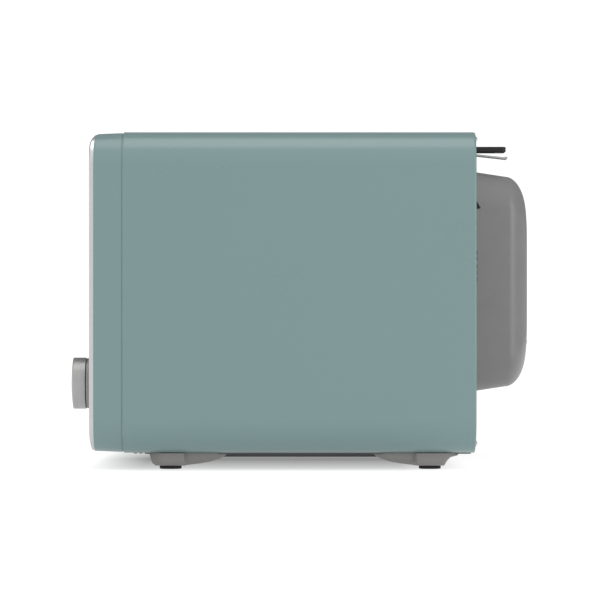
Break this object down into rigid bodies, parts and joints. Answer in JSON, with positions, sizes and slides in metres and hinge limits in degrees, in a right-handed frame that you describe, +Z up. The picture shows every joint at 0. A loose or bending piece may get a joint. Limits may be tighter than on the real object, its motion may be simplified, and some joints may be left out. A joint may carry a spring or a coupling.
{
  "type": "toaster oven",
  "caption": "Countertop convection toaster oven with a round-edged painted wrap, drop-down glass door, control column with a knob, crumb tray, rack and drawn motor cover.",
  "frame": {"origin": "on the worktop, under the middle of the oven's bounding box", "axes": "+X to the user's right, +Y from the door to the back, +Z up"},
  "size_m": [0.49, 0.406, 0.29],
  "materials": {
    "wrap_paint": "satin sage-green enamel",
    "frame_paint": "moulded frame painted to match the wrap",
    "fascia_steel": "fine brushed",
    "plate_steel": "plain zinc-coated sheet",
    "cavity_enamel": "speckled enamel",
    "base_metal": "dark grey powder coat",
    "cover_paint": "grey powder coat",
    "black_plastic": "moulded matte",
    "gloss_black": "moulded gloss",
    "foot_plastic": "moulded matte grey",
    "pad_rubber": "matte",
    "screw_steel": "plated",
    "element_steel": "heat-darkened sheath",
    "ceramic": "unglazed",
    "clear_glass": "clear",
    "dark_glass": "tinted",
    "motor_steel": "laminated",
    "fan_metal": "stamped",
    "board": "printed circuit board",
    "knob_metal": "spun and brushed",
    "ring_metal": "dark anodised",
    "button_metal": "satin",
    "door_metal": "brushed",
    "seal_silicone": "silicone",
    "rack_wire": "polished",
    "tray_enamel": "non-stick",
    "plunger_red": "moulded"
  },
  "bodies": {
    "root": {"outer_wrap": "wrap_paint", "front_frame": "frame_paint", "fascia": "fascia_steel", "front_plate": "plate_steel", "base_plate": "base_metal", "rear_panel": "base_metal", "rear_cover": "cover_paint", "exhaust_hood": "black_plastic", "exhaust_deflector": "plate_steel", "cord_gland": "black_plastic", "foot_front_left": "foot_plastic", "foot_front_right": "foot_plastic", "foot_rear_left": "foot_plastic", "foot_rear_right": "foot_plastic", "foot_pads": "pad_rubber", "rear_panel_screws": "screw_steel", "rear_cover_screws": "cover_paint", "cavity_left_wall": "cavity_enamel", "cavity_right_wall": "cavity_enamel", "cavity_top": "cavity_enamel", "cavity_floor": "cavity_enamel", "cavity_rear_wall": "cavity_enamel", "runner_left": "rack_wire", "runner_right": "rack_wire", "upper_elements": "element_steel", "lower_elements": "element_steel", "element_insulators": "ceramic", "temperature_probe": "screw_steel", "lamp_lens": "clear_glass", "fan_guard": "cavity_enamel", "fan_chamber": "plate_steel", "convection_element": "element_steel", "fan_motor": "motor_steel", "control_panel": "gloss_black", "display_glass": "dark_glass", "control_board": "board", "power_board": "board", "encoder_body": "screw_steel", "knob_ring": "ring_metal", "hinge_brackets": "plate_steel", "door_switch": "black_plastic"},
    "door": {"door_frame": "door_metal", "door_glass": "dark_glass", "door_inner_panel": "plate_steel", "door_inner_glass": "clear_glass", "door_seal": "seal_silicone", "door_grip": "black_plastic", "hinge_pins": "screw_steel"},
    "rack": {"wire_rack": "rack_wire", "baking_tray": "tray_enamel"},
    "crumb_drawer": {"crumb_tray": "door_metal"},
    "fan_rotor": {"fan_impeller": "fan_metal", "fan_shaft": "screw_steel"},
    "knob_spindle": {"encoder_shaft": "screw_steel"},
    "knob": {"knob_cap": "knob_metal"},
    "button_1": {"button_upper_left": "button_metal"},
    "button_2": {"button_upper_right": "button_metal"},
    "button_3": {"button_lower_left": "button_metal"},
    "button_4": {"button_lower_right": "button_metal"},
    "plunger": {"switch_plunger": "plunger_red"}
  },
  "joints": [
    {"name": "door_hinge", "type": "hinge", "parent": "root", "child": "door", "pos_m": [-0.06, -0.1783, 0.051], "axis": [1, 0, 0], "range_deg": [0, 90]},
    {"name": "rack_slide", "type": "slide", "parent": "root", "child": "rack", "axis": [0, -1, 0], "range_m": [0, 0.0786]},
    {"name": "crumb_tray_slide", "type": "slide", "parent": "root", "child": "crumb_drawer", "axis": [0, -1, 0], "range_m": [0, 0.24]},
    {"name": "fan_spin", "type": "hinge", "parent": "root", "child": "fan_rotor", "pos_m": [-0.06, 0.1417, 0.158], "axis": [0, 1, 0], "continuous": true},
    {"name": "knob_push", "type": "slide", "parent": "root", "child": "knob_spindle", "axis": [0, 1, 0], "range_m": [0, 0.0005], "stiffness_N_per_m": 1500, "springref_m": -0.0008},
    {"name": "knob_turn", "type": "hinge", "parent": "knob_spindle", "child": "knob", "pos_m": [0.176, -0.1966, 0.0733], "axis": [0, 1, 0], "continuous": true},
    {"name": "button_1_press", "type": "slide", "parent": "root", "child": "button_1", "axis": [0, 1, 0], "range_m": [0, 0.0012], "stiffness_N_per_m": 1000, "springref_m": -0.0008},
    {"name": "button_2_press", "type": "slide", "parent": "root", "child": "button_2", "axis": [0, 1, 0], "range_m": [0, 0.0012], "stiffness_N_per_m": 1000, "springref_m": -0.0008},
    {"name": "button_3_press", "type": "slide", "parent": "root", "child": "button_3", "axis": [0, 1, 0], "range_m": [0, 0.0012], "stiffness_N_per_m": 1000, "springref_m": -0.0008},
    {"name": "button_4_press", "type": "slide", "parent": "root", "child": "button_4", "axis": [0, 1, 0], "range_m": [0, 0.0012], "stiffness_N_per_m": 1000, "springref_m": -0.0008},
    {"name": "switch_travel", "type": "slide", "parent": "root", "child": "plunger", "axis": [0, -1, 0], "range_m": [0, 0.003]}
  ],
  "couplings": [
    {"joint": "rack_slide", "follows": "door_hinge", "m_per_rad": 0.05},
    {"joint": "switch_travel", "follows": "door_hinge", "m_per_rad": 0.0019}
  ]
}
